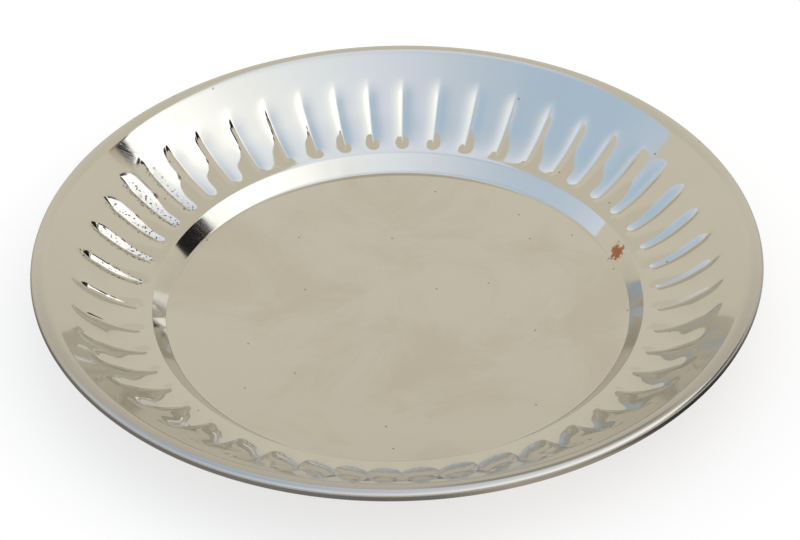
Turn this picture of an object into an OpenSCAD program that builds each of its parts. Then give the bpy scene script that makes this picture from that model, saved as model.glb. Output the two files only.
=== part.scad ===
// Round steel thali plate: one pressed sheet with a stepped floor, a fluted sloping wall
// and a rolled rim, and the stiffening wire that the rim is rolled over.
// Millimetres, +Z up. The origin is on the axis, at the underside of the floor.

/* [Plate] */
// Diameter over the rolled rim
plate_d = 280; // [250:1:330]
// Height from the underside of the floor to the top of the rim
plate_h = 31.6; // [29:0.1:38]
// Thickness of the sheet
sheet_t = 0.6; // [0.4:0.05:0.9]

/* [Floor and step] */
// Diameter of the flat floor, out to the foot of the step
floor_d = 180; // [150:1:200]
// Width of the step, measured flat
step_w = 5.7; // [4.5:0.1:8]
// Rise of the step
step_h = 6.1; // [4:0.1:7]
// Radius of the bend at the foot of the step
step_foot_bend_r = 2.2; // [1:0.1:3]
// Radius of the bend along the top edge of the step
step_top_bend_r = 1.2; // [0.8:0.1:2]

/* [Wall] */
// Width of the shelf above the step, measured flat, out to the foot of the wall
shelf_w = 11; // [10.5:0.1:13]
// Slope of the shelf, in degrees
shelf_slope = 14; // [8:1:18]
// How far back from the wall's foot its bend starts, along the shelf
wall_foot_bend_reach = 9.5; // [5:0.1:10]
// Radius of the bend between the wall and the brim
shoulder_bend_r = 5; // [2:0.5:6]

/* [Flutes] */
// Number of flutes round the wall
flute_n = 49; // [24:1:52]
// Plain shelf between the step and the flutes, along the slope
flute_gap = 2.3; // [1.8:0.1:4]
// Plain wall between the flutes and the shoulder, along the slope
flute_top_gap = 12; // [6:0.5:16]
// Width of a flute near its outer end
flute_outer_w = 7.6; // [5:0.1:9]
// Width of a flute near its inner end
flute_inner_w = 4.4; // [3:0.1:6]
// Depth of a flute near its outer end
flute_outer_depth = 1.2; // [0.6:0.05:1.5]
// Depth of a flute near its inner end
flute_inner_depth = 0.9; // [0.4:0.05:1.1]
// Direction that the flutes are counted from, anticlockwise from +X in degrees
flute_start_az = 87.4; // [0:0.1:360]
// Unevenness of the flutes' spacing, as pressed one by one: 0 is even
flute_wander = 1; // [0:0.1:1.5]

/* [Rim] */
// Diameter of the rolled rim
bead_d = 4.9; // [4:0.1:6]
// Width of the narrow brim between the shoulder and the rolled rim, measured flat
brim_w = 2.4; // [2:0.1:5]
// Slope of the brim, in degrees
brim_slope = 6; // [2:1:12]
// How far round the rim is rolled, in degrees
curl_turn = 300; // [250:5:310]
// Gap between the wire and the sheet rolled over it
wire_clearance = 0.1; // [0.05:0.05:0.3]

/* [Hidden] */
$fn = 180;

// Cuts run past the faces that they cross by this much
overrun = 1;
// The bars of a flute's tool are this much slimmer than its balls, so their faces cross
bar_relief = 0.06;
// Straight facets in each bend of the sheet, and round the rolled rim
bend_steps = 3;
curl_steps = 40;
// A flute's tool has its knee at this station of the bend at the wall's foot
knee_step = 2;

floor_r = floor_d / 2;
half_t = sheet_t / 2;
bead_mid_r = bead_d / 2 - half_t;
bead_centre = [plate_d / 2 - bead_d / 2, plate_h - bead_d / 2];
wire_r = bead_d / 2 - sheet_t - wire_clearance;

// Corners of the sheet's middle line, from the axis to the rim: foot and top of the step,
// foot of the wall, shoulder, and the point where the brim runs into the rolled rim
step_foot = [floor_r, half_t];
step_top = step_foot + [step_w, step_h];
wall_foot = step_top + shelf_w * [1, tan(shelf_slope)];
brim_end = bead_centre + bead_mid_r * [-sin(brim_slope), cos(brim_slope)];
shoulder = brim_end - brim_w * [1, tan(brim_slope)];

function unit(v) = v / norm(v);
function left_of(v) = [-v.y, v.x];
function heading(v) = atan2(v.y, v.x);

// Directions along the shelf and up the wall, and the bend that joins them
shelf_dir = unit(wall_foot - step_top);
wall_dir = unit(shoulder - wall_foot);
wall_foot_turn = heading(wall_dir) - heading(shelf_dir);
wall_foot_bend_r = wall_foot_bend_reach / tan(wall_foot_turn / 2);

// Direction of each flute: an even pitch, moved by a few slow waves round the plate.
// Each row holds a wave's count round the plate, its height as a share of the pitch
// and its phase in degrees.
flute_pitch = 360 / flute_n;
wander_shares = [[1, 0.11, 105], [3, 0.07, 162], [6, 0.08, -5], [7, 0.06, 160]];
function wander(az) = [for (wave = wander_shares) wave[1] * sin(wave[0] * az + wave[2])]
    * [for (wave = wander_shares) flute_wander * flute_pitch];
function flute_az(i) = flute_start_az - i * flute_pitch + wander(90 - i * flute_pitch);

// The sheet's closed surface starts and ends here, halfway between the first two flutes
seam_az = (flute_az(0) + flute_az(1)) / 2;

// How far back from a corner its bend starts
function bend_reach(a, corner, b, r) =
    r * tan(abs(heading(b - corner) - heading(corner - a)) / 2);

// Stations along the bend that rounds a corner of the middle line, as [point, heading]
function bend_stations(a, corner, b, r) =
    let (
        before = heading(corner - a),
        after = heading(b - corner),
        side = after > before ? 1 : -1,
        start = corner - bend_reach(a, corner, b, r) * unit(corner - a),
        centre = start + side * r * left_of(unit(corner - a))
    )
    [
        for (k = [0:bend_steps])
        let (h = before + (after - before) * k / bend_steps)
        [centre - side * r * left_of([cos(h), sin(h)]), h]
    ];

// Stations along the sheet's middle line, from the axis to the end of the rolled rim
corners = [[0, half_t], step_foot, step_top, wall_foot, shoulder, brim_end];
bend_radii = [0, step_foot_bend_r, step_top_bend_r, wall_foot_bend_r, shoulder_bend_r];
function bend_at(c) =
    bend_stations(corners[c - 1], corners[c], corners[c + 1], bend_radii[c]);
stations = concat(
    [[corners[0], 0]],
    [for (c = [1:len(bend_radii) - 1]) each bend_at(c)],
    [
        for (k = [0:curl_steps])
        let (h = brim_slope - curl_turn * k / curl_steps)
        [bead_centre + bead_mid_r * left_of([cos(h), sin(h)]), h]
    ]
);

// The line that lies a distance to the left of a row of stations
function beside(line, d) = [for (p = line) p[0] + d * left_of([cos(p[1]), sin(p[1])])];
function reversed(list) = [for (k = [len(list) - 1:-1:0]) list[k]];

// The stretch of the middle line that the flutes are pressed into, over the wall's foot
shelf_start = [step_top, heading(shelf_dir)];
wall_end = [shoulder, heading(wall_dir)];
wall_foot_bend = bend_at(3);
knee_place = wall_foot_bend[knee_step];

// The sheet's section, from the axis to the end of the rolled rim
module sheet_section() {
    polygon(concat(beside(stations, half_t), reversed(beside(stations, -half_t))));
}

// A flute's tool has three balls: on the shelf, at its knee in the bend and up the wall.
// The one at the knee is wider and deeper than the inner one by the share of the way to it.
inner_place = [step_top + (flute_gap + flute_inner_w / 2) * shelf_dir, shelf_start[1]];
outer_place = [shoulder - (flute_top_gap + flute_outer_w / 2) * wall_dir, wall_end[1]];
inner_run = norm(knee_place[0] - inner_place[0]);
outer_run = norm(outer_place[0] - knee_place[0]);
knee_share = inner_run / (inner_run + outer_run);
knee_w = flute_inner_w + knee_share * (flute_outer_w - flute_inner_w);
knee_depth = flute_inner_depth + knee_share * (flute_outer_depth - flute_inner_depth);

// Radius of the ball that presses a dent of a given width and depth
function ball_r(w, depth) = (w * w / 4 + depth * depth) / (2 * depth);

// A ball at a place on the middle line, as [centre, radius], that presses the inside face
function ball_at(place, w, depth) = [
    beside([place], half_t + ball_r(w, depth) - depth)[0],
    ball_r(w, depth)
];
balls = [
    ball_at(inner_place, flute_inner_w, flute_inner_depth),
    ball_at(knee_place, knee_w, knee_depth),
    ball_at(outer_place, flute_outer_w, flute_outer_depth)
];

// Puts a round piece at a point of the section, with its axis along a heading. It is turned
// half round, so that its surface starts and ends on the far side from the sheet.
module put(point, angle) {
    translate([point.x, 0, point.y])
        rotate([0, 90 - angle, 0])
            rotate([0, 0, 180])
                children();
}

// The tapered bar between two balls, grown by a skin
module bar(from, to, skin) {
    run = norm(to[0] - from[0]);
    taper = asin((to[1] - from[1]) / run);
    put(from[0], heading(to[0] - from[0]))
        translate([0, 0, -(from[1] + skin) * sin(taper)])
            cylinder(
                r1 = (from[1] + skin) * cos(taper) - bar_relief,
                r2 = (to[1] + skin) * cos(taper) - bar_relief,
                h = run - (to[1] - from[1]) * sin(taper)
            );
}

// The tool that presses one flute, grown by a skin: its balls and the bars between them
module press_tool(skin) {
    for (k = [0:2])
        put(balls[k][0], [inner_place, knee_place, outer_place][k][1])
            sphere(balls[k][1] + skin);
    for (k = [0:1])
        bar(balls[k], balls[k + 1], skin);
}

// Everything below a line that lies a height above the sheet's inside face
module below_face(height) {
    line = beside(concat([shelf_start], wall_foot_bend, [wall_end]), half_t + height);
    rotate([90, 0, 0])
        linear_extrude(height = 3 * balls[2][1], center = true)
            polygon(concat(line, [[shoulder.x, -overrun], [step_top.x, -overrun]]));
}

// All the flutes, grown by a skin and cut off at a height above the sheet's inside face
module flutes(skin, height) {
    for (i = [0:flute_n - 1])
        rotate([0, 0, flute_az(i)])
            intersection() {
                press_tool(skin);
                below_face(height);
            }
}

// Floor, step, fluted wall and rolled rim, pressed from one sheet
module pressed_plate() {
    color([0.78, 0.77, 0.73])
        difference() {
            union() {
                rotate([0, 0, seam_az])
                    rotate_extrude()
                        sheet_section();
                flutes(sheet_t, -half_t);
            }
            flutes(0, overrun);
        }
}

// The wire ring inside the rolled rim
module rim_wire() {
    color([0.62, 0.63, 0.65])
        translate([0, 0, bead_centre.y])
            rotate_extrude()
                translate([bead_centre.x, 0])
                    circle(wire_r);
}

pressed_plate();
rim_wire();
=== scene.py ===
# %% [markdown]
# A steel thali plate, seen from in front and above.
#
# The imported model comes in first. It holds the plate's true sizes, so everything below is
# measured from it or given in the same millimetres. Two pieces make up a plate like this: the
# sheet, which is pressed and rolled from one round blank, and a wire ring inside the rolled rim.

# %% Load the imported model
from math import atan2, cos, degrees, pi, radians, sin, tan

import bpy
import numpy as np
from mathutils import Matrix, Vector


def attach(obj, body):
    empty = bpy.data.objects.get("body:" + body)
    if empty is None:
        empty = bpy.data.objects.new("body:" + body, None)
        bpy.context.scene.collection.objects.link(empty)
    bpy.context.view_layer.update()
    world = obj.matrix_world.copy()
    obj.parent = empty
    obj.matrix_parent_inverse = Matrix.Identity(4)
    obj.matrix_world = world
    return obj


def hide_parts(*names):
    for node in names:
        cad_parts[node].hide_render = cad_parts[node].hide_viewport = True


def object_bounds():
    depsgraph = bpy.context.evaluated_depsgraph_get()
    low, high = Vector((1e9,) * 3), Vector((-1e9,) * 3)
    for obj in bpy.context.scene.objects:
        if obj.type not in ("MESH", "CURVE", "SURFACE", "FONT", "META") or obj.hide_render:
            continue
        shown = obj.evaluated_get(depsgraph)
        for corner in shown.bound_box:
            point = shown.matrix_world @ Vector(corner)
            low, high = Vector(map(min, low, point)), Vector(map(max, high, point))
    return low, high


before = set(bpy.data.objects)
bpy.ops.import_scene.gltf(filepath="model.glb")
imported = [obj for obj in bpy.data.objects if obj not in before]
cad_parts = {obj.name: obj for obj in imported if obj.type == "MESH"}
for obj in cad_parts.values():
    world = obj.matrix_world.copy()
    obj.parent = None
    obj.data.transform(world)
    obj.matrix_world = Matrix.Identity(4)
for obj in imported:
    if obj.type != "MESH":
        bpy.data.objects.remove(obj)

cad_low, cad_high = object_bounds()
scene = bpy.context.scene
MM = 0.001

plate_r = cad_high.x
plate_h = cad_high.z
print(f"plate: {plate_r * 2 / MM:.1f} mm across, {plate_h / MM:.1f} mm high")

# %% [markdown]
# A plate is round, so its shape is one drawn section and one turn round the axis. The section is
# the same line that a press tool's designer would draw: a flat floor, a step up, a narrow shelf,
# the sloping wall, a narrow brim, and a curl that rolls outwards and down over the wire. Each
# corner of the line has its bend radius. Points along that line are called stations here, and
# each keeps the sheet's direction with it, so that both faces of the sheet lie half a thickness
# to either side.

# %% Sizes of the section
sheet_t = 0.6 * MM
half_t = sheet_t / 2
floor_r = 90 * MM
step_w, step_h = 5.7 * MM, 6.1 * MM
step_foot_bend, step_top_bend = 2.2 * MM, 1.2 * MM
shelf_w, shelf_slope = 11 * MM, radians(14)
foot_reach, shoulder_bend = 9.5 * MM, 5 * MM
bead_r = 2.45 * MM
brim_w, brim_slope = 2.4 * MM, radians(6)
curl_turn = radians(300)


def flat_dir(angle):
    """A direction in the section, as an angle above the floor."""
    return Vector((cos(angle), sin(angle)))


def left_of(direction):
    return Vector((-direction.y, direction.x))


def heading(direction):
    return atan2(direction.y, direction.x)


curl_r = bead_r - half_t
curl_centre = Vector((plate_r - bead_r, plate_h - bead_r))
step_foot = Vector((floor_r, half_t))
step_top = step_foot + Vector((step_w, step_h))
wall_foot = step_top + shelf_w * Vector((1, tan(shelf_slope)))
brim_end = curl_centre + curl_r * left_of(flat_dir(brim_slope))
shoulder = brim_end - brim_w * Vector((1, tan(brim_slope)))
wall_dir = (shoulder - wall_foot).normalized()
wall_normal = left_of(wall_dir)
wall_foot_bend = foot_reach / tan((heading(wall_dir) - shelf_slope) / 2)
wall_len = (shoulder - wall_foot).length
print(f"the wall slopes at {degrees(heading(wall_dir)):.1f} degrees")

# %% Stations along the section
def bend(before, corner, after, radius, steps):
    """Stations along the arc that rounds a corner."""
    a, b = heading(corner - before), heading(after - corner)
    side = 1 if b > a else -1
    start = corner - radius * tan(abs(b - a) / 2) * flat_dir(a)
    centre = start + side * radius * left_of(flat_dir(a))
    angles = [a + (b - a) * k / steps for k in range(steps + 1)]
    return [(centre - side * radius * left_of(flat_dir(h)), h) for h in angles]


def curl(steps):
    """Stations round the rolled rim, from the brim to the sheet's end inside the roll."""
    angles = [brim_slope - curl_turn * k / steps for k in range(steps + 1)]
    return [(curl_centre + curl_r * left_of(flat_dir(h)), h) for h in angles]


def section(bend_steps, foot_steps, wall_stations, curl_steps):
    """Stations from the floor's edge to the end of the roll."""
    floor_rings = [(Vector((floor_r - inset, half_t)), 0) for inset in (2.4 * MM, 1.2 * MM)]
    shelf_back = foot_reach + 0.6 * MM
    shelf = [(wall_foot - shelf_back * flat_dir(shelf_slope), shelf_slope)]
    wall = [(wall_foot + s * wall_dir, heading(wall_dir)) for s in wall_stations]
    return (
        floor_rings
        + bend(Vector((0, half_t)), step_foot, step_top, step_foot_bend, bend_steps + 2)
        + bend(step_foot, step_top, wall_foot, step_top_bend, bend_steps)
        + shelf
        + bend(step_top, wall_foot, shoulder, wall_foot_bend, foot_steps)
        + wall
        + bend(wall_foot, shoulder, brim_end, shoulder_bend, bend_steps)
        + curl(curl_steps)
    )


def face(stations, offset):
    """The sheet's face that lies an offset to the left of its middle line."""
    return [p + offset * left_of(flat_dir(h)) for p, h in stations]


# %% [markdown]
# The 49 flutes are long valleys that a press leaves in the wall. They could be cut with a Boolean
# tool, but that leaves knife-sharp edges, and a mirror finish shows every one. So the sheet is spun
# first, with its points already close together where the flutes will be, and the valleys are
# pressed in afterwards by moving points along the wall's normal. Each one runs from the shelf over
# the wall's foot and up the wall, and its sides ease out to nothing halfway to the next flute, as
# real sheet does when it is drawn down by a blunt tool.

# %% Sizes of the flutes
flute_n = 49
flute_start = 87.4
flute_inner_depth, flute_outer_depth = 1.05 * MM, 1.3 * MM
flank_w, valley_r = 2.2 * MM, 0.45 * MM
inner_start, inner_full = -8.6 * MM, -4 * MM
outer_full, outer_start = 15 * MM, 25 * MM

pitch = 360 / flute_n
wander_shares = [(1, 0.11, 105), (3, 0.07, 162), (6, 0.08, -5), (7, 0.06, 160)]


def flute_azimuth(i):
    """Direction of a flute in degrees. They were pressed one by one, so their pitch wanders."""
    even = 90 - i * pitch
    waves = (share * sin(radians(n * even + phase)) for n, share, phase in wander_shares)
    return flute_start - i * pitch + pitch * sum(waves)


def smooth_step(x, start, end):
    share = np.clip((x - start) / (end - start), 0, 1)
    return share * share * (3 - 2 * share)


def dent(up, across, share):
    """How deep the sheet is pressed. Up is the distance up the wall from its foot, across the
    distance from the flute's middle, and share the same as a share of the way to halfway."""
    depth = np.interp(up, [inner_full, outer_full], [flute_inner_depth, flute_outer_depth])
    ends = smooth_step(up, inner_start, inner_full) * (1 - smooth_step(up, outer_full, outer_start))
    valley = np.exp((valley_r - np.hypot(across, valley_r)) / flank_w)
    return depth * ends * valley * (1 - share**2) ** 2


print(f"{flute_n} flutes, {pitch:.2f} degrees apart on average")

# %% Where the wall's points lie up the slope
def spread(start, end, count):
    return [start + (end - start) * k / count for k in range(1, count + 1)]


wall_fine = (
    spread(foot_reach, outer_full, 5)
    + spread(outer_full, outer_start, 11)
    + spread(outer_start, wall_len - 2 * MM, 3)
)
wall_coarse = wall_fine[::2]
print(f"{len(wall_fine)} rings of points up the wall's inside, {len(wall_coarse)} on its outside")

# %% [markdown]
# The section is drawn as anyone would draw it in edit mode: one vertex, extruded from station to
# station, out along the inside face, round the roll and back along the underside. Then Spin turns
# it round the axis, and its own merge closes the turn. The two holes that are left in the middle
# become the flat floor's two faces.

# %% Draw the section and spin it
COLUMNS_PER_FLUTE = 16
columns = flute_n * COLUMNS_PER_FLUTE


def deselect_all():
    bpy.ops.object.select_all(action="DESELECT")


deselect_all()
fine = section(bend_steps=5, foot_steps=17, wall_stations=wall_fine, curl_steps=22)
coarse = section(bend_steps=2, foot_steps=6, wall_stations=wall_coarse, curl_steps=8)
inside, outside = face(fine, half_t), face(coarse, -half_t)
outline = inside + outside[::-1]

bpy.ops.mesh.primitive_plane_add(size=MM, location=(outline[0].x, 0, outline[0].y))
sheet = bpy.context.object
sheet.name = "plate_sheet"
bpy.ops.object.transform_apply(location=True, rotation=False, scale=False)
bpy.ops.object.mode_set(mode="EDIT")
bpy.ops.mesh.merge(type="CENTER")
for here, there in zip(outline, outline[1:]):
    move = (there.x - here.x, 0, there.y - here.y)
    bpy.ops.mesh.extrude_region_move(TRANSFORM_OT_translate={"value": move})
bpy.ops.mesh.select_all(action="SELECT")
bpy.ops.mesh.spin(
    steps=columns, angle=2 * pi, center=(0, 0, 0), axis=(0, 0, 1), use_auto_merge=True
)
bpy.ops.mesh.select_all(action="SELECT")
bpy.ops.mesh.remove_doubles(threshold=0.001 * MM)
bpy.ops.mesh.select_all(action="DESELECT")
bpy.ops.mesh.select_non_manifold()
bpy.ops.mesh.edge_face_add()
bpy.ops.mesh.select_all(action="SELECT")
bpy.ops.mesh.normals_make_consistent(inside=False)
bpy.ops.object.mode_set(mode="OBJECT")
print(f"spun sheet: {len(sheet.data.vertices)} points, {len(sheet.data.polygons)} faces")

# %% [markdown]
# Before the flutes are pressed, the spun columns of points are combed sideways: sixteen of them go
# to each flute, packed close in its valley and further apart on the sides. Then each point of the
# wall goes down along the wall's normal by the depth of the dent, on both faces alike, so the sheet
# keeps its thickness.

# %% Comb the points and press the flutes
half_stops = [0, 0.045, 0.1, 0.17, 0.27, 0.41, 0.6, 0.8, 1]
azimuths = np.radians(sorted(flute_azimuth(i) % 360 for i in range(flute_n)))
columns_mid = COLUMNS_PER_FLUTE // 2


def turned_azimuth(flute):
    """Azimuth of a flute in radians, counted on past the first turn."""
    return azimuths[flute % flute_n] + 2 * pi * (flute // flute_n)


count = len(sheet.data.vertices)
points = np.zeros(count * 3)
sheet.data.vertices.foreach_get("co", points)
points = points.reshape(-1, 3)
radius = np.hypot(points[:, 0], points[:, 1])
column = np.rint(np.arctan2(points[:, 1], points[:, 0]) / (2 * pi) * columns).astype(int) % columns

flute, place = np.divmod(column + columns_mid, COLUMNS_PER_FLUTE)
place = place - columns_mid
here = turned_azimuth(flute)
gap_before = here - turned_azimuth(flute - 1)
gap_after = turned_azimuth(flute + 1) - here
half_gap = np.where(place < 0, gap_before, gap_after) / 2
share = np.sign(place) * np.interp(abs(place), range(len(half_stops)), half_stops)
azimuth = here + share * half_gap

up_wall = (radius - wall_foot.x) * wall_dir.x + (points[:, 2] - wall_foot.y) * wall_dir.y
press = dent(up_wall, share * half_gap * radius, share)
radius_now = radius - press * wall_normal.x
points[:, 0] = radius_now * np.cos(azimuth)
points[:, 1] = radius_now * np.sin(azimuth)
points[:, 2] -= press * wall_normal.y
sheet.data.vertices.foreach_set("co", points.ravel())

pressed = sheet.data.attributes.new("pressed", "FLOAT", "POINT")
pressed.data.foreach_set("value", np.clip(press / flute_outer_depth, 0, 1))
sheet.data.update()
print(f"deepest dent {press.max() / MM:.2f} mm")

# %% Finish the sheet
deselect_all()
sheet.select_set(True)
bpy.context.view_layer.objects.active = sheet
bpy.ops.object.shade_smooth_by_angle(angle=radians(50))
sheet.data.materials.clear()

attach(sheet, "root")
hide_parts("pressed_plate")
print(f"{sheet.name}: {len(sheet.data.polygons)} faces, shaded smooth")

# %% [markdown]
# The finish. Polished stainless steel is nearly a mirror, a little warmer and darker than silver.
# What makes it look real is what spoils the mirror: hair-thin scratches from washing, cloudy
# smudges that blur the reflection, a few specks, a stain, and the faint unevenness that pressing
# leaves in the sheet. Scratches, smudges, specks and the stain are node groups with inputs of
# their own, so that other metal can use them. One more group finds the place round the axis: how
# far out from it, and in which direction, in degrees anticlockwise from the right. The sheet, the
# wire and the card that lies on the floor use that one.

# %% Helpers for node groups
def new_group(name, inputs, outputs):
    """An empty node group with its inputs and outputs, and its group input and output nodes."""
    group = bpy.data.node_groups.new(name, "ShaderNodeTree")
    for kind, label, default in inputs:
        socket = group.interface.new_socket(label, in_out="INPUT", socket_type=kind)
        if default is not None:
            socket.default_value = default
    for kind, label in outputs:
        group.interface.new_socket(label, in_out="OUTPUT", socket_type=kind)
    start = group.nodes.new("NodeGroupInput")
    end = group.nodes.new("NodeGroupOutput")
    return group, start, end


def add(tree, kind, settings=None, inputs=None):
    """A new node, with its settings and with values or links on its inputs."""
    node = tree.nodes.new(kind)
    for name, value in (settings or {}).items():
        setattr(node, name, value)
    for name, value in (inputs or {}).items():
        if isinstance(value, bpy.types.NodeSocket):
            tree.links.new(value, node.inputs[name])
        else:
            node.inputs[name].default_value = value
    return node


def math(tree, operation, *values):
    """The result of a Math node."""
    node = add(tree, "ShaderNodeMath", {"operation": operation}, dict(enumerate(values)))
    return node.outputs[0]


def product(tree, first, *others):
    """All the values multiplied together."""
    for other in others:
        first = math(tree, "MULTIPLY", first, other)
    return first


def ramp(tree, value, low, high, to_low=0.0, to_high=1.0):
    """A smooth step from one value to another."""
    node = add(
        tree,
        "ShaderNodeMapRange",
        {"interpolation_type": "SMOOTHSTEP"},
        {"Value": value, "From Min": low, "From Max": high, "To Min": to_low, "To Max": to_high},
    )
    return node.outputs["Result"]


def noise(tree, place, scale, **more):
    """The value of a noise texture at a place. More of its inputs can be given by name."""
    node = add(tree, "ShaderNodeTexNoise", None, {"Vector": place, "Scale": scale, **more})
    return node.outputs["Fac"]


FLOAT, VECTOR = "NodeSocketFloat", "NodeSocketVector"

# %% Node group: fine scratches
SCRATCH_DIRECTIONS = (12, 74, 131, 163)
SCRATCH_SLIMNESS = 34
SCRATCH_CORE, SCRATCH_EDGE = 0.004, 0.011

scratches, start, end = new_group(
    "fine_scratches",
    [(VECTOR, "Place", None), (FLOAT, "Length", 0.02), (FLOAT, "Amount", 0.5)],
    [(FLOAT, "Mask")],
)
per_metre = math(scratches, "DIVIDE", 1.0, start.outputs["Length"])
total = None
for k, direction in enumerate(SCRATCH_DIRECTIONS):
    turned = add(
        scratches,
        "ShaderNodeMapping",
        None,
        {
            "Vector": start.outputs["Place"],
            "Rotation": (0, 0, radians(direction)),
            "Scale": (1, SCRATCH_SLIMNESS, 1),
        },
    )
    streaks = noise(scratches, turned.outputs[0], per_metre, Detail=1.5, Roughness=0.6)
    ridge = math(scratches, "ABSOLUTE", math(scratches, "SUBTRACT", streaks, 0.5))
    line = ramp(scratches, ridge, SCRATCH_CORE, SCRATCH_EDGE, 1.0, 0.0)
    where = noise(scratches, start.outputs["Place"], 31.0 + 9 * k, Detail=1.0)
    patchy = product(scratches, line, ramp(scratches, where, 0.52, 0.66))
    total = patchy if total is None else math(scratches, "MAXIMUM", total, patchy)
scratches.links.new(product(scratches, total, start.outputs["Amount"]), end.inputs["Mask"])
print(f"{scratches.name}: scratches in {len(SCRATCH_DIRECTIONS)} directions")

# %% Node group: smudges
BARE_EDGE, COVERED_LESS, SMUDGE_SOFTNESS = 0.78, 0.4, 0.22

smudges, start, end = new_group(
    "smudges",
    [(VECTOR, "Place", None), (FLOAT, "Size", 0.03), (FLOAT, "Cover", 0.5)],
    [(FLOAT, "Mask")],
)
cloud = noise(
    smudges,
    start.outputs["Place"],
    math(smudges, "DIVIDE", 1.0, start.outputs["Size"]),
    Detail=6.0,
    Roughness=0.62,
    Distortion=0.6,
)
lower = product(smudges, start.outputs["Cover"], COVERED_LESS)
edge = math(smudges, "SUBTRACT", BARE_EDGE, lower)
full = math(smudges, "ADD", edge, SMUDGE_SOFTNESS)
smudges.links.new(ramp(smudges, cloud, edge, full), end.inputs["Mask"])
print(f"{smudges.name}: {len(smudges.nodes)} nodes")

# %% Node group: specks
CELLS_LEFT_BARE = 0.7

specks, start, end = new_group(
    "specks",
    [(VECTOR, "Place", None), (FLOAT, "Spacing", 0.02), (FLOAT, "Size", 0.04)],
    [(FLOAT, "Mask")],
)
cells = add(
    specks,
    "ShaderNodeTexVoronoi",
    {"feature": "F1", "voronoi_dimensions": "2D"},
    {
        "Vector": start.outputs["Place"],
        "Scale": math(specks, "DIVIDE", 1.0, start.outputs["Spacing"]),
        "Randomness": 1.0,
    },
)
dot = math(specks, "LESS_THAN", cells.outputs["Distance"], start.outputs["Size"])
chosen = add(specks, "ShaderNodeSeparateColor", None, {"Color": cells.outputs["Color"]})
kept = math(specks, "GREATER_THAN", chosen.outputs["Red"], CELLS_LEFT_BARE)
specks.links.new(product(specks, dot, kept), end.inputs["Mask"])
print(f"{specks.name}: a speck in {1 - CELLS_LEFT_BARE:.0%} of the cells")

# %% Node group: a stain
RAGGED_SCALE, RAGGED_REACH = 420.0, 2.4
STAIN_CORE, STAIN_EDGE = 1.65, 2.05

stain, start, end = new_group(
    "stain",
    [(VECTOR, "Place", None), (VECTOR, "Centre", None), (FLOAT, "Size", 0.005)],
    [(FLOAT, "Mask")],
)
offset = add(
    stain,
    "ShaderNodeVectorMath",
    {"operation": "DISTANCE"},
    {0: start.outputs["Place"], 1: start.outputs["Centre"]},
)
apart = math(stain, "DIVIDE", offset.outputs["Value"], start.outputs["Size"])
ragged = noise(stain, start.outputs["Place"], RAGGED_SCALE, Detail=3.0, Roughness=0.6)
apart = math(stain, "ADD", apart, product(stain, ragged, RAGGED_REACH))
stain.links.new(ramp(stain, apart, STAIN_CORE, STAIN_EDGE, 1.0, 0.0), end.inputs["Mask"])
print(f"{stain.name}: {len(stain.nodes)} nodes")

# %% Node group: place round the axis
polar, start, end = new_group(
    "round_the_axis", [(VECTOR, "Place", None)], [(FLOAT, "Out"), (FLOAT, "Turn")]
)
parts = add(polar, "ShaderNodeSeparateXYZ", None, {"Vector": start.outputs["Place"]})
turn = math(polar, "ARCTAN2", parts.outputs["Y"], parts.outputs["X"])
flat = add(
    polar,
    "ShaderNodeVectorMath",
    {"operation": "MULTIPLY"},
    {0: start.outputs["Place"], 1: (1, 1, 0)},
)
out = add(polar, "ShaderNodeVectorMath", {"operation": "LENGTH"}, {0: flat.outputs[0]})
polar.links.new(out.outputs["Value"], end.inputs["Out"])
polar.links.new(product(polar, turn, 180 / pi), end.inputs["Turn"])
print(f"{polar.name}: {len(polar.nodes)} nodes")

# %% [markdown]
# The polished sheet. The colour is steel's own reflection colour. Smudges warm and dull it a
# little, mostly on the floor, and specks darken it. The rolled rim has been handled and stacked,
# so it is rougher and duller than the rest all round. On the viewer's side its steel is also
# painted darker, a painted shade that dims its reflections there, and a darker line runs along its
# top in front. Dirt has caught in the flutes on the left, and there is one brown stain on the step.

# %% Helpers for materials
def placed(tree, group, **inputs):
    """A node group in a tree: its output, or all of them where it has more than one."""
    node = tree.nodes.new("ShaderNodeGroup")
    node.node_tree = group
    for name, value in inputs.items():
        if isinstance(value, bpy.types.NodeSocket):
            tree.links.new(value, node.inputs[name])
        else:
            node.inputs[name].default_value = value
    return node.outputs[0] if len(node.outputs) == 1 else node.outputs


def new_material(name):
    """A new material, its tree, its shader and the place on the object."""
    material = bpy.data.materials.new(name)
    material.use_nodes = True
    tree = material.node_tree
    shader = next(n for n in tree.nodes if n.type == "BSDF_PRINCIPLED")
    place = add(tree, "ShaderNodeTexCoord").outputs["Object"]
    return material, tree, shader, place


def show(tree, surface):
    """Makes a shader's output the surface of the material."""
    output = next(n for n in tree.nodes if n.type == "OUTPUT_MATERIAL")
    tree.links.new(surface, output.inputs["Surface"])


def mixed(tree, share, first, second):
    """The first colour where the share is 0, the second where it is 1, and a mix between."""
    node = add(tree, "ShaderNodeMix", {"data_type": "RGBA"})
    for name, value in (("Factor", share), ("A", first), ("B", second)):
        socket = next(s for s in node.inputs if s.name == name and s.enabled)
        if isinstance(value, bpy.types.NodeSocket):
            tree.links.new(value, socket)
        else:
            socket.default_value = value
    return next(s for s in node.outputs if s.enabled)


def banded(tree, value, stops):
    """A colour that goes evenly from stop to stop. Each stop is a value and its colour."""
    colour = stops[0][1]
    for (here_at, _), (there_at, there_colour) in zip(stops, stops[1:]):
        nearer = add(
            tree,
            "ShaderNodeMapRange",
            None,
            {"Value": value, "From Min": here_at, "From Max": there_at},
        )
        colour = mixed(tree, nearer.outputs["Result"], colour, there_colour)
    return colour
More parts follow.
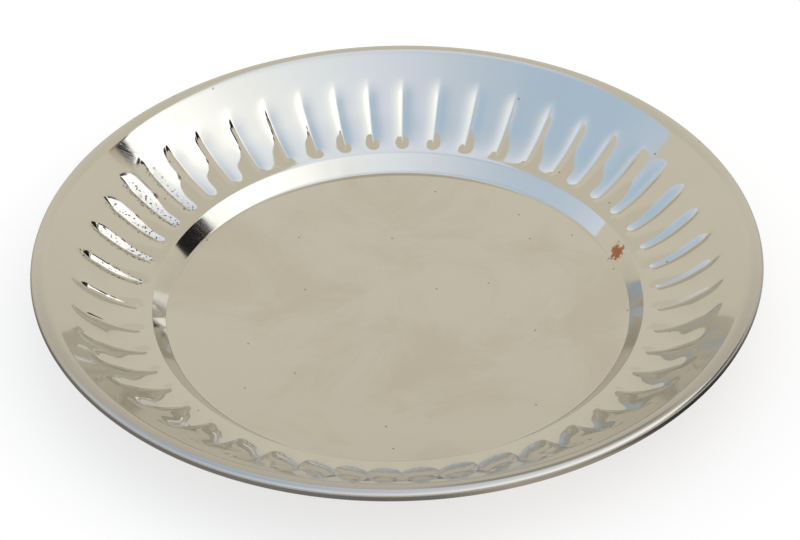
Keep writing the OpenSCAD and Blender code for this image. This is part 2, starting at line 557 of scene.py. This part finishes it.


# %% Polished sheet: where the marks of use and the painted shade lie
SMUDGE_FADE, SMUDGE_LEFT = 8 * MM, 0.2
STAIN_AT, STAIN_SIZE = Vector((87.7, 29.35, 3.2)) * MM, 4.5 * MM
RIM_START, RIM_FULL = plate_r - 7.5 * MM, plate_r - 3.5 * MM
FRONT = -90.0
# Where the darker line along the top of the rim lies, in front and to the right, and how wide it
# is.
RIM_LINE_AT = plate_r - 2.6 * MM
RIM_LINE_CORE, RIM_LINE_EDGE = 0.2 * MM, 0.9 * MM
GRAIN_SCALE = 950.0

polished, tree, shader, place = new_material("polished_sheet")
out, turn = placed(tree, polar, Place=place)
flute_mask = add(tree, "ShaderNodeAttribute", {"attribute_name": "pressed"}).outputs["Fac"]

smudge = placed(tree, smudges, Place=place, Size=0.05, Cover=0.9)
on_floor = ramp(tree, out, floor_r, floor_r + SMUDGE_FADE, 1.0, SMUDGE_LEFT)
smudge = product(tree, smudge, on_floor)
scratch = placed(tree, scratches, Place=place, Length=0.02, Amount=0.6)
speck = placed(tree, specks, Place=place, Spacing=0.018, Size=0.022)
brown = placed(tree, stain, Place=place, Centre=STAIN_AT, Size=STAIN_SIZE)

rim = ramp(tree, out, RIM_START, RIM_FULL)
from_front = math(tree, "ABSOLUTE", math(tree, "SUBTRACT", turn, FRONT))
# The rim's added roughness all round is its wear. This darker steel on the viewer's side of the rim
# is painted shade, which dims the rim's reflections there.
front_rim_shade = product(tree, rim, ramp(tree, from_front, 60.0, 100.0, 1.0, 0.0))

# A darker line along the top of the rolled rim, in front and to the right.
from_line = math(tree, "ABSOLUTE", math(tree, "SUBTRACT", out, RIM_LINE_AT))
rim_dark_line = product(
    tree,
    ramp(tree, turn, -92.0, -76.0),
    ramp(tree, turn, -52.0, -38.0, 1.0, 0.0),
    ramp(tree, from_line, RIM_LINE_CORE, RIM_LINE_EDGE, 1.0, 0.0),
)

grains = noise(tree, place, GRAIN_SCALE, Detail=2.0)
in_flank = product(
    tree, ramp(tree, flute_mask, 0.12, 0.3), ramp(tree, flute_mask, 0.6, 0.85, 1.0, 0.25)
)
on_left = ramp(tree, turn, 138.0, 150.0)
dirt = product(tree, ramp(tree, grains, 0.57, 0.63), in_flank, on_left)

# %% Polished sheet: colour and roughness
STEEL = (0.63, 0.61, 0.57, 1)
STEEL_SMUDGED = (0.56, 0.53, 0.475, 1)
# Painted shade: the rim's darker steel on the viewer's side.
STEEL_FRONT_SHADE = (0.50, 0.48, 0.46, 1)
# the colour of the darker line along the rim's top
RIM_LINE_DARK = (0.26, 0.245, 0.22, 1)
SPECK = (0.10, 0.09, 0.08, 1)
DIRT = (0.03, 0.027, 0.025, 1)
BROWN = (0.36, 0.16, 0.08, 1)
ROUGHNESS = 0.045

marks = [
    (smudge, 0.6, STEEL_SMUDGED),
    (speck, 0.6, SPECK),
    # painted shade on the rim's front
    (front_rim_shade, 1.0, STEEL_FRONT_SHADE),
    # the darker line along the rim's top
    (rim_dark_line, 0.8, RIM_LINE_DARK),
    (dirt, 1.0, DIRT),
    (brown, 1.0, BROWN),
]
colour = STEEL
for mask, strength, mark_colour in marks:
    colour = mixed(tree, product(tree, mask, strength), colour, mark_colour)
tree.links.new(colour, shader.inputs["Base Color"])

rough = ROUGHNESS
for mask, rougher in ((smudge, 0.05), (scratch, 0.12), (rim, 0.16)):
    rough = math(tree, "ADD", rough, product(tree, mask, rougher))
tree.links.new(rough, shader.inputs["Roughness"])
shader.inputs["Metallic"].default_value = 1.0
print(f"{polished.name}: {len(marks)} layers over the steel's own colour")

# %% [markdown]
# The sheet's bump holds three things at their real scale: the long waves of the pressed sheet,
# the fine ripple inside the flutes, and the scratches.

# %% Polished sheet: bump
WAVE_SCALE, WAVE_HEIGHT = 28.0, 0.06 * MM
RIPPLE_SCALE, RIPPLE_HEIGHT = 900.0, 0.006 * MM
SCRATCH_DEPTH = 0.0015 * MM

waves = noise(tree, place, WAVE_SCALE, Detail=2.0)
ripple = noise(tree, place, RIPPLE_SCALE, Detail=2.0)
height = product(tree, waves, WAVE_HEIGHT)
height = math(tree, "ADD", height, product(tree, flute_mask, RIPPLE_HEIGHT, ripple))
height = math(tree, "SUBTRACT", height, product(tree, scratch, SCRATCH_DEPTH))
bump = add(tree, "ShaderNodeBump", None, {"Height": height, "Distance": 1.0, "Strength": 1.0})
tree.links.new(bump.outputs["Normal"], shader.inputs["Normal"])
sheet.data.materials.append(polished)
print(f"{polished.name}: {len(tree.nodes)} nodes")

# %% [markdown]
# The wire in the rim is drawn through a die, which leaves it dull, with fine lines along it. It
# doesn't show unless the plate is seen from right underneath, but it has its own finish all the
# same. The lines follow the ring, so they are stretched along the direction round the axis.

# %% Drawn wire
WIRE_LIGHT = (0.52, 0.52, 0.53, 1)
WIRE_DARK = (0.30, 0.29, 0.28, 1)
LINE_SCALE, LINE_DEPTH = 4000.0, 0.02 * MM
METRES_PER_DEGREE = 0.00035

drawn, tree, shader, place = new_material("drawn_wire")
parts = add(tree, "ShaderNodeSeparateXYZ", None, {"Vector": place})
out, turn = placed(tree, polar, Place=place)
along = add(
    tree,
    "ShaderNodeCombineXYZ",
    None,
    {"X": product(tree, turn, METRES_PER_DEGREE), "Y": out, "Z": parts.outputs["Z"]},
)
lines = noise(tree, along.outputs[0], LINE_SCALE, Detail=3.0)
colour = mixed(tree, ramp(tree, lines, 0.35, 0.6), WIRE_LIGHT, WIRE_DARK)
tree.links.new(colour, shader.inputs["Base Color"])
tree.links.new(ramp(tree, lines, 0.3, 0.7, 0.3, 0.5), shader.inputs["Roughness"])
shader.inputs["Metallic"].default_value = 1.0
bump = add(
    tree, "ShaderNodeBump", None, {"Height": product(tree, lines, LINE_DEPTH), "Distance": 1.0}
)
tree.links.new(bump.outputs["Normal"], shader.inputs["Normal"])
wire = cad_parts["rim_wire"]
wire.data.materials.clear()
wire.data.materials.append(drawn)
print(f"{drawn.name}: {len(tree.nodes)} nodes")

# %% [markdown]
# A mirror shows what stands round it, so the surroundings are part of the picture. They are drawn
# on the world by direction: an open sky overhead, blue on the left and white on the right, whose
# lower edge is a skyline that is high behind the plate and low on the viewer's side, and warm
# beige walls under it, with a dark edge on the right. A few darker patches there stand for things
# near the plate. Azimuth is measured from straight behind the plate, positive to the right, and
# elevation from the horizon. The skyline's points are pairs of the two.

# %% Sky and walls
SKY = [
    (-0.30, (0.60, 0.79, 1.01, 1)),
    (-0.16, (0.74, 0.88, 1.05, 1)),
    (0.02, (0.93, 1.02, 1.20, 1)),
    (0.28, (1.09, 1.19, 1.30, 1)),
    (0.50, (1.22, 1.30, 1.37, 1)),
    (0.75, (1.38, 1.42, 1.44, 1)),
    (1.10, (1.80, 1.82, 1.80, 1)),
]
WALL_LOW = (0.76, 0.72, 0.60, 1)
WALL_HIGH = (0.83, 0.785, 0.665, 1)
WALL_TOP = (0.77, 0.725, 0.605, 1)
WALL_EDGE = (0.11, 0.10, 0.09, 1)
GROUND = (0.62, 0.60, 0.54, 1)
SKYLINE = [
    (-180, 21), (-140, 22), (-110, 20), (-90, 17), (-76, 18), (-71, 24), (-68.5, 32), (-67, 40),
    (-65, 49), (-62, 57), (-57, 61), (-47, 63), (-30, 62), (-14, 60), (0, 59), (12, 60),
    (24, 64), (42, 66), (56, 65), (62, 61), (65, 54), (66.5, 45), (67.5, 38), (69, 30), (72, 25),
    (90, 23), (110, 24), (150, 22), (180, 21),
]
SKY_PER_LOWNESS = 1.5

world = bpy.data.worlds.new("surroundings")
scene.world = world
world.use_nodes = True
tree = world.node_tree
background = next(n for n in tree.nodes if n.type == "BACKGROUND")

direction = add(tree, "ShaderNodeTexCoord").outputs["Generated"]
parts = add(tree, "ShaderNodeSeparateXYZ", None, {"Vector": direction})
right, away, up = (parts.outputs[name] for name in "XYZ")
az = product(tree, math(tree, "ARCTAN2", right, away), 180 / pi)
el = product(tree, math(tree, "ARCSINE", up), 180 / pi)

turn_share = math(tree, "DIVIDE", math(tree, "ADD", az, 180.0), 360.0)
skyline = add(tree, "ShaderNodeFloatCurve", None, {"Value": turn_share})
curve = skyline.mapping.curves[0]
curve.points[0].location = (0, SKYLINE[0][1] / 90)
curve.points[1].location = (1, SKYLINE[-1][1] / 90)
for point_az, point_el in SKYLINE[1:-1]:
    curve.points.new((point_az + 180) / 360, point_el / 90)
skyline.mapping.update()
above = math(tree, "SUBTRACT", el, product(tree, skyline.outputs[0], 90.0))

lowness = product(tree, math(tree, "SUBTRACT", 1.0, up), SKY_PER_LOWNESS)
sky = banded(tree, math(tree, "ADD", right, lowness), SKY)
walls = mixed(tree, ramp(tree, el, 0.0, 26.0), WALL_LOW, WALL_HIGH)
walls = mixed(tree, ramp(tree, el, 38.0, 44.0), walls, WALL_TOP)
walls = mixed(tree, ramp(tree, el, -2.0, 0.0), GROUND, walls)
dark_edge = product(
    tree,
    product(tree, ramp(tree, above, -3.0, -2.2), ramp(tree, above, -0.3, 0.5, 1.0, 0.0)),
    product(tree, ramp(tree, az, 58.0, 66.0), ramp(tree, az, 100.0, 112.0, 1.0, 0.0)),
)
walls = mixed(tree, dark_edge, walls, WALL_EDGE)
view = mixed(tree, ramp(tree, above, -0.8, 0.8), walls, sky)
print(f"skyline: {len(SKYLINE)} points, sky: {len(SKY)} colours")

# %% Patches on the surroundings
DARK = (0.02, 0.018, 0.02, 1)
RUST = (0.40, 0.17, 0.07, 1)
PATCHES = [
    (DARK, (79, 21), (16, 9.5), 0.05),
    (DARK, (69.5, 35), (3, 3.2), 0.25),
    (RUST, (64.2, 41.5), (1.1, 2.2), 0.5),
    (DARK, (67.2, 42.5), (1.7, 2.8), 0.4),
]
SQUARENESS = 4.0


def off_centre(angle, centre, half_size):
    """How far an angle is from a patch's centre: 1 at its edge, raised to its squareness."""
    share = math(tree, "DIVIDE", math(tree, "SUBTRACT", angle, centre), half_size)
    return math(tree, "POWER", math(tree, "ABSOLUTE", share), SQUARENESS)


def patch(view, colour, centre, half_size, softness):
    """A soft-edged patch of colour on the surroundings. Centre and half size are in degrees."""
    beside = off_centre(az, centre[0], half_size[0])
    over = off_centre(el, centre[1], half_size[1])
    far = math(tree, "POWER", math(tree, "ADD", beside, over), 1 / SQUARENESS)
    return mixed(tree, ramp(tree, far, 1 - softness, 1 + softness, 1.0, 0.0), view, colour)


for colour, centre, half_size, softness in PATCHES:
    view = patch(view, colour, centre, half_size, softness)
tree.links.new(view, background.inputs["Color"])
background.inputs["Strength"].default_value = 1.0
print(f"{world.name}: {len(PATCHES)} patches")

# %% [markdown]
# The floor is plain and white, and it is big, so that its edge lies past every view. Part of its
# white is its own colour, which takes the plate's shadow, and part is a light of its own that only
# the camera and reflections see. It faces up only: seen from below it is clear, so the plate's
# underside can be looked at.

# %% Floor
FLOOR_COLOUR, FLOOR_GLOW = (0.37, 0.355, 0.345, 1), 0.66

deselect_all()
bpy.ops.mesh.primitive_plane_add(size=40)
floor = bpy.context.object
floor.name = "floor"
material, tree, shader, _ = new_material("white_floor")
shader.inputs["Base Color"].default_value = FLOOR_COLOUR
shader.inputs["Roughness"].default_value = 0.9
shader.inputs["Specular IOR Level"].default_value = 0.1
path = add(tree, "ShaderNodeLightPath")
seen = math(tree, "MAXIMUM", path.outputs["Is Camera Ray"], path.outputs["Is Glossy Ray"])
seen = math(tree, "MAXIMUM", seen, path.outputs["Is Transmission Ray"])
shader.inputs["Emission Color"].default_value = (1, 1, 1, 1)
tree.links.new(product(tree, seen, FLOOR_GLOW), shader.inputs["Emission Strength"])
clear = add(tree, "ShaderNodeBsdfTransparent")
behind = add(tree, "ShaderNodeNewGeometry").outputs["Backfacing"]
choose = add(tree, "ShaderNodeMixShader", None, {0: behind, 1: shader.outputs[0]})
tree.links.new(clear.outputs[0], choose.inputs[2])
show(tree, choose.outputs[0])
floor.data.materials.append(material)
print(f"{floor.name}: {floor.dimensions.x:.0f} m wide")

# %% [markdown]
# A polished rim on a white floor has no edge to see it by, so a flag lies on the floor, as a
# photographer lays dark card round polished metal. It starts under the wall and goes out past the
# rim, and its card is lighter in some directions and darker in others, by the degrees round the
# axis. It shows in reflections and nowhere else.

# %% Flag
FLAG_INNER, FLAG_OUTER, FLAG_LIFT = plate_r - 40 * MM, plate_r + 700 * MM, 0.5 * MM
CARDS = [
    (-180, (0.24, 0.225, 0.20, 1)),
    (-150, (0.27, 0.26, 0.25, 1)),
    (-118, (0.31, 0.305, 0.30, 1)),
    (-95, (0.25, 0.24, 0.245, 1)),
    (-84, (0.28, 0.27, 0.26, 1)),
    (-70, (0.62, 0.57, 0.50, 1)),
    (-52, (0.55, 0.50, 0.44, 1)),
    (-42, (0.14, 0.13, 0.12, 1)),
    (-34, (0.05, 0.05, 0.045, 1)),
    (-22, (0.05, 0.05, 0.045, 1)),
    (-8, (0.20, 0.19, 0.17, 1)),
    (8, (0.60, 0.57, 0.52, 1)),
    (150, (0.60, 0.57, 0.52, 1)),
    (180, (0.25, 0.235, 0.21, 1)),
]

deselect_all()
bpy.ops.mesh.primitive_circle_add(
    vertices=96, radius=FLAG_OUTER, fill_type="NGON", location=(0, 0, FLAG_LIFT)
)
flag = bpy.context.object
flag.name = "flag"
bpy.ops.object.mode_set(mode="EDIT")
bpy.ops.mesh.select_all(action="SELECT")
bpy.ops.mesh.inset(thickness=FLAG_OUTER - FLAG_INNER)
bpy.ops.mesh.delete(type="FACE")
bpy.ops.object.mode_set(mode="OBJECT")
for name in ("visible_camera", "visible_diffuse", "visible_shadow", "visible_transmission"):
    setattr(flag, name, False)
material, tree, _, place = new_material("flag_card")
_, turn = placed(tree, polar, Place=place)
card = banded(tree, turn, CARDS)
glow = add(tree, "ShaderNodeEmission", None, {"Color": card, "Strength": 1.0})
show(tree, glow.outputs[0])
flag.data.materials.append(material)
print(f"{flag.name}: from {FLAG_INNER / MM:.0f} to {FLAG_OUTER / MM:.0f} mm from the axis")

# %% [markdown]
# The camera stands a little over a metre from the plate and looks down at 38 degrees, slightly
# turned about its own line of sight, with a long lens. These came from fitting the picture of the
# plate's circles: a circle's drawn height over its width gives the angle, and how the far circles
# shrink gives the distance.

# %% Camera
camera_down = radians(38.1)
camera_roll = radians(-1.199)
camera_far = 1050 * MM
camera_side, camera_up = 1.19 * MM, 14.63 * MM
lens, sensor = 121.03, 36

forward = Vector((0, cos(camera_down), -sin(camera_down)))
side = Vector((1, 0, 0))
top = side.cross(forward)
rolled_side = cos(camera_roll) * side + sin(camera_roll) * top
rolled_top = cos(camera_roll) * top - sin(camera_roll) * side
at = Vector((0, 0, sheet_t)) - camera_far * forward + camera_side * side + camera_up * top

data = bpy.data.cameras.new("camera")
data.lens, data.sensor_width, data.sensor_fit = lens, sensor, "HORIZONTAL"
data.clip_start, data.clip_end = 0.01, 100
camera = bpy.data.objects.new("camera", data)
scene.collection.objects.link(camera)
axes = Matrix((rolled_side, rolled_top, -forward)).transposed()
camera.matrix_world = Matrix.Translation(at) @ axes.to_4x4()
scene.camera = camera
print(f"camera at {[round(c, 3) for c in at]}")

# %% [markdown]
# Colours go to the screen as they are.

# %% View settings
scene.view_settings.view_transform = "Standard"
